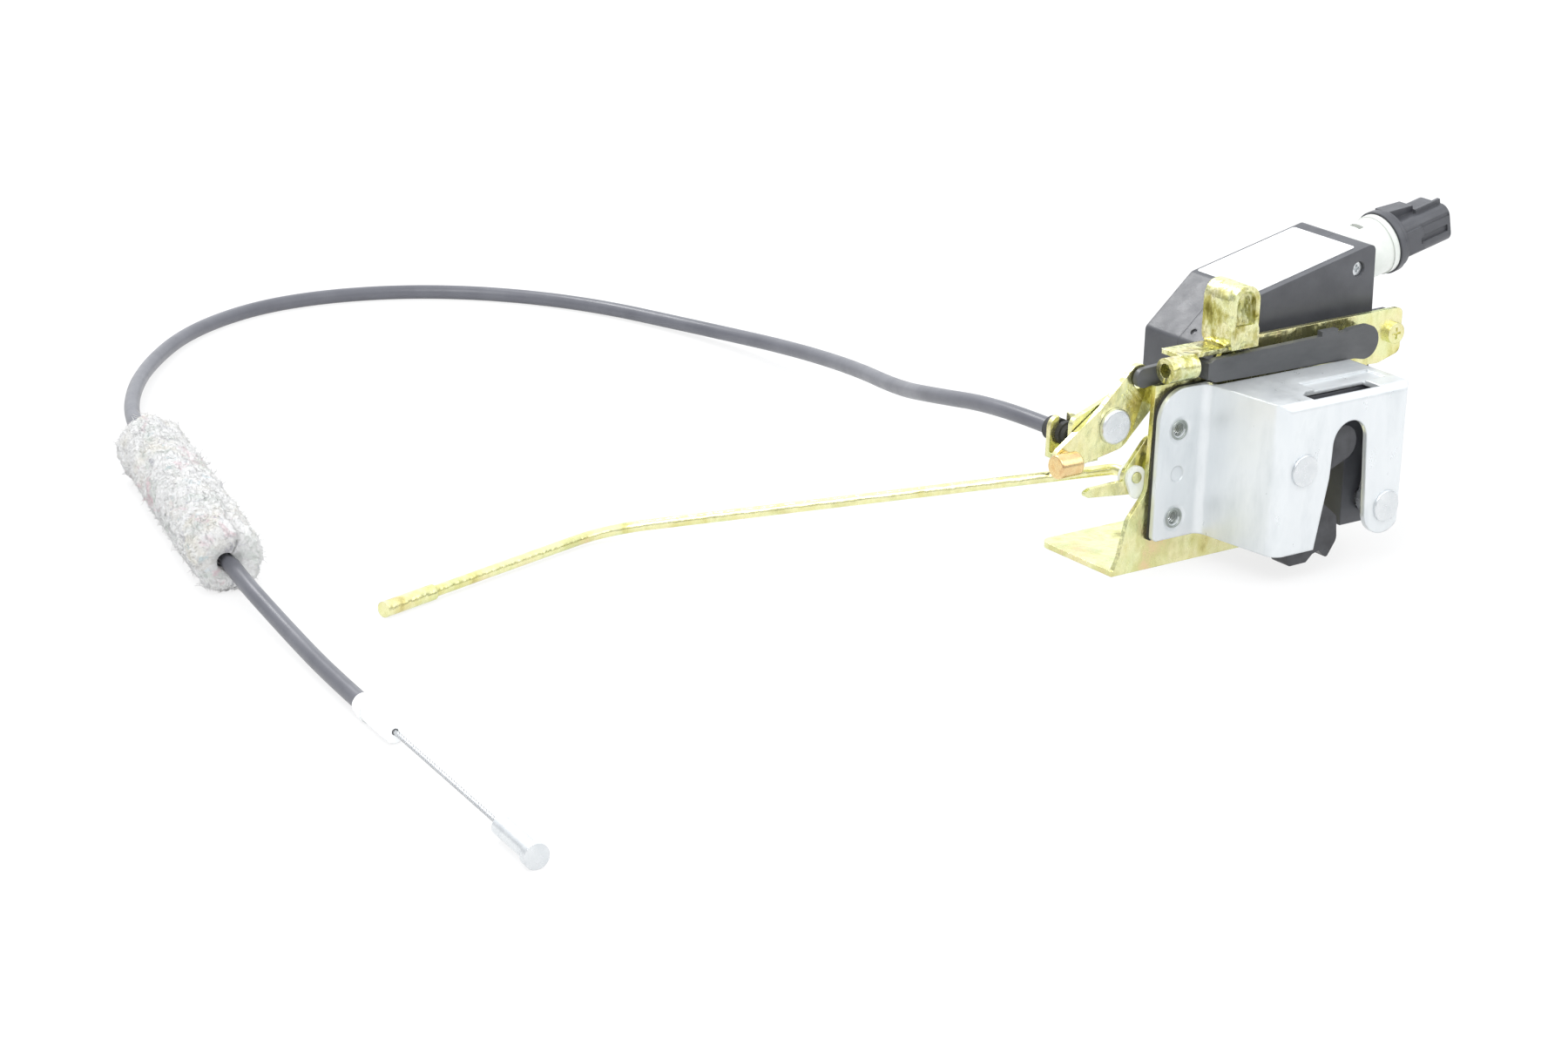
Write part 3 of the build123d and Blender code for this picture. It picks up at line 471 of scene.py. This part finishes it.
# a geometry tree with named inputs; values holds what each input gets, by its identifier
class Grower(Nodes):
    def __init__(self, name, material, **inputs):
        super().__init__(bpy.data.node_groups.new(name, "GeometryNodeTree"))
        self.values = {}
        for way in ("INPUT", "OUTPUT"):
            self.tree.interface.new_socket("Geometry", in_out=way, socket_type="NodeSocketGeometry")
        for label, value in inputs.items():
            self.declare(label, "Int" if isinstance(value, int) else "Float", value)
        self.declare("Material", "Material", material)
        self.given = self.add("NodeGroupInput").outputs

    def declare(self, label, kind, value):
        socket = self.tree.interface.new_socket(label, in_out="INPUT", socket_type="NodeSocket" + kind)
        self.values[socket.identifier] = value

    # lays the material on the shape, runs the tree on a mesh and keeps only the plain mesh that it makes
    def grow(self, name, mesh, shape):
        dressed = self.add("GeometryNodeSetMaterial", Geometry=shape, Material=self.given["Material"])
        self.add("NodeGroupOutput", Geometry=dressed)
        seed = link(bpy.data.objects.new(name + "Seed", mesh))
        grower = seed.modifiers.new("grow", "NODES")
        grower.node_group = self.tree
        for identifier, value in self.values.items():
            grower[identifier] = value
        seed.update_tag()
        view = bpy.context.evaluated_depsgraph_get()
        result = bpy.data.meshes.new_from_object(seed.evaluated_get(view), depsgraph=view)
        seed.modifiers.clear()
        bpy.data.objects.remove(seed)
        result.name = name
        return link(bpy.data.objects.new(name, result))


# loose fibres standing off the felt, in millimetres; lean in radians, the bow is one fibre of length 1, and
# shortest and longest are shares of the length
fuzz = {"perSquareMetre": 820000.0, "length": 2.5, "thickness": 0.07, "lean": 1.1, "shortest": 0.4,
        "longest": 1.5, "seed": 7, "aboveTable": 0.1, "steps": 3, "sides": 3,
        "bow": {"Start": (0, 0, -0.2), "Middle": (0.1, 0, 0.75), "End": (0.85, 0, 0.8)}}


def makeFibres(material):
    n = Grower("feltFuzz", material, Density=fuzz["perSquareMetre"], Length=fuzz["length"] * mm,
               Thickness=fuzz["thickness"] * mm, Floor=(tableZ + fuzz["aboveTable"]) * mm, Seed=fuzz["seed"])
    given = n.given
    spots = n.add("GeometryNodeDistributePointsOnFaces", distribute_method="RANDOM", Mesh=given["Geometry"],
                  Density=given["Density"], Seed=given["Seed"])
    bow = n.add("GeometryNodeCurveQuadraticBezier", Resolution=fuzz["steps"], **fuzz["bow"])
    sized = n.add("GeometryNodeTransform", Geometry=bow, Scale=given["Length"])
    ring = n.add("GeometryNodeCurvePrimitiveCircle", Resolution=fuzz["sides"], Radius=given["Thickness"])
    hair = n.add("GeometryNodeCurveToMesh", Curve=sized, Profile_Curve=ring, Fill_Caps=True)
    lean = fuzz["lean"]
    spin = n.add("FunctionNodeRandomValue", (-lean, -lean, -math.pi), (lean, lean, math.pi),
                 data_type="FLOAT_VECTOR", Seed=given["Seed"])
    turned = n.add("FunctionNodeRotateRotation", rotation_space="LOCAL", Rotation=spots.outputs["Rotation"],
                   Rotate_By=spin)
    # inputs 2 and 3 and output 1 of a random value are its plain numbers, the first ones its vectors
    size = n.add("FunctionNodeRandomValue", data_type="FLOAT", Seed=given["Seed"])
    n.fill(size.inputs[2], fuzz["shortest"])
    n.fill(size.inputs[3], fuzz["longest"])
    hairs = n.add("GeometryNodeInstanceOnPoints", Points=spots, Instance=hair, Rotation=turned,
                  Scale=size.outputs[1])
    real = n.add("GeometryNodeRealizeInstances", Geometry=hairs)
    place = n.add("ShaderNodeSeparateXYZ", n.add("GeometryNodeInputPosition")).outputs
    lifted = n.add("ShaderNodeMath", place["Z"], given["Floor"], operation="MAXIMUM")
    settled = n.add("GeometryNodeSetPosition", Geometry=real,
                    Position=n.add("ShaderNodeCombineXYZ", place["X"], place["Y"], lifted))
    piece = n.grow("feltFibres", feltMesh("feltSkin", False), settled)
    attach(piece, "latch_frame")
    return piece


# twisted wires of the bare core at both ends of the cable, in millimetres
core = {
    "strands": 6, "orbit": 0.58, "wire": 0.29, "pitch": 11.0, "step": 0.6, "sides": 8,
    "near": {"path": [sheathRoute[0], (-33.5, 18.8, 14.5), (-44.6, 13.2, 10.4)], "round": 0.3, "steps": 10},
    "far": {"from": 10.0, "to": 106.0},
    "hinge": {"still": (-33.5, 20.5, 14.5), "moves": (-44.0, 13.6, 10.6)},
}


def makeStrands(name, places, material):
    path = [Vector(place) * mm for place in places]
    length = sum((b - a).length for a, b in zip(path, path[1:]))
    seed = bpy.data.meshes.new(name + "Path")
    seed.from_pydata(path, [(k, k + 1) for k in range(len(path) - 1)], [])
    n = Grower("coreTwist", material, Strands=core["strands"], Orbit=core["orbit"] * mm,
               Wire=core["wire"] * mm, Step=core["step"] * mm, Turns=length / mm / core["pitch"])
    given = n.given
    line = n.add("GeometryNodeMeshToCurve", Mesh=given["Geometry"])
    even = n.add("GeometryNodeResampleCurve", mode="LENGTH", Curve=line, Length=given["Step"])
    along = n.add("GeometryNodeSplineParameter").outputs["Factor"]
    turns = n.add("ShaderNodeMath", along, given["Turns"], operation="MULTIPLY")
    angle = n.add("ShaderNodeMath", turns, 2 * math.pi, operation="MULTIPLY")
    twisted = n.add("GeometryNodeSetCurveTilt", Curve=even, Tilt=angle)
    hub = n.add("GeometryNodeCurvePrimitiveCircle", Resolution=given["Strands"], Radius=given["Orbit"])
    wire = n.add("GeometryNodeCurvePrimitiveCircle", Resolution=core["sides"], Radius=given["Wire"])
    section = n.add("GeometryNodeInstanceOnPoints", Points=hub, Instance=wire)
    flat = n.add("GeometryNodeRealizeInstances", Geometry=section)
    rope = n.add("GeometryNodeCurveToMesh", Curve=twisted, Profile_Curve=flat, Fill_Caps=True)
    return n.grow(name, seed, rope)


# corner of the near core, rounded by a short parabola
def nearPath():
    near = core["near"]
    a, b, c = (Vector(place) for place in near["path"])
    start, end = b + (a - b) * near["round"], b + (c - b) * near["round"]
    shares = [k / near["steps"] for k in range(near["steps"] + 1)]
    return [a] + [start * (1 - t) ** 2 + b * 2 * t * (1 - t) + end * t ** 2 for t in shares] + [c]


def makeNearCore(material):
    piece = makeStrands("nearCore", nearPath(), material)
    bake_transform(piece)
    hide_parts("near_wire")
    return piece


def makeFarCore(material):
    tip, back = Vector(sheathRoute[-1]), Vector(sheathRoute[-2])
    heading = (tip - back).normalized()
    ends = [tip + heading * core["far"][k] for k in ("from", "to")]
    piece = makeStrands("farCore", ends, material)
    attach(piece, "core_body")
    return piece


# rolled rim and screw thread of the two fixing holes, in millimetres
holes = {"places": [(0, 0, 16.5), (0, 0, -16.5)], "rim": 3.35, "rimWire": 0.42, "rimDepth": 0.28,
         "rimSteps": 48, "rimSides": 10, "thread": 2.55, "threadWire": 0.3, "threadSteps": 28,
         "threadSides": 6, "pitch": 1.0, "depth": 7.0}


def makeHoleRims(material):
    n = Grower("holeRims", material, Rim=holes["rim"] * mm, RimWire=holes["rimWire"] * mm,
               Thread=holes["thread"] * mm, ThreadWire=holes["threadWire"] * mm,
               Turns=holes["depth"] / holes["pitch"], Depth=holes["depth"] * mm)
    given = n.given
    circle = n.add("GeometryNodeCurvePrimitiveCircle", Resolution=holes["rimSteps"], Radius=given["Rim"])
    bead = n.add("GeometryNodeCurvePrimitiveCircle", Resolution=holes["rimSides"], Radius=given["RimWire"])
    rim = n.add("GeometryNodeCurveToMesh", Curve=circle, Profile_Curve=bead)
    helix = n.add("GeometryNodeCurveSpiral", Resolution=holes["threadSteps"], Rotations=given["Turns"],
                  Start_Radius=given["Thread"], End_Radius=given["Thread"], Height=given["Depth"])
    ridge = n.add("GeometryNodeCurvePrimitiveCircle", Resolution=holes["threadSides"],
                  Radius=given["ThreadWire"])
    thread = n.add("GeometryNodeCurveToMesh", Curve=helix, Profile_Curve=ridge, Fill_Caps=True)
    both = n.add("GeometryNodeJoinGeometry", rim)
    n.fill(both.inputs[0], thread)
    copies = n.add("GeometryNodeInstanceOnPoints", Points=given["Geometry"], Instance=both,
                   Rotation=(-math.pi / 2, 0, 0))
    real = n.add("GeometryNodeRealizeInstances", Geometry=copies)
    spots = bpy.data.meshes.new("holeSpots")
    spots.from_pydata([(x * mm, (y + holes["rimDepth"]) * mm, z * mm) for x, y, z in holes["places"]], [], [])
    piece = n.grow("fixingThreads", spots, real)
    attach(piece, "latch_frame")
    return piece


placeCamera()
makeFloor()
makeWorld()
bpy.context.scene.view_settings.view_transform = "Standard"
for name, lamp in lamps.items():
    areaLight(name, **lamp)
print("camera, floor and lights made")
made = coatNodes()
print("finishes laid on", len(nodeCoats), "parts")
sheathPiece = makeSheath(made)
woolMade = woolMaterial()
feltPiece = makeFelt(woolMade)
fibres = makeFibres(woolMade)
makeNearCore(made["springSteel"])
farCore = makeFarCore(made["springSteel"])
makeHoleRims(made["holeSteel"])
print("cable, felt and strands made")
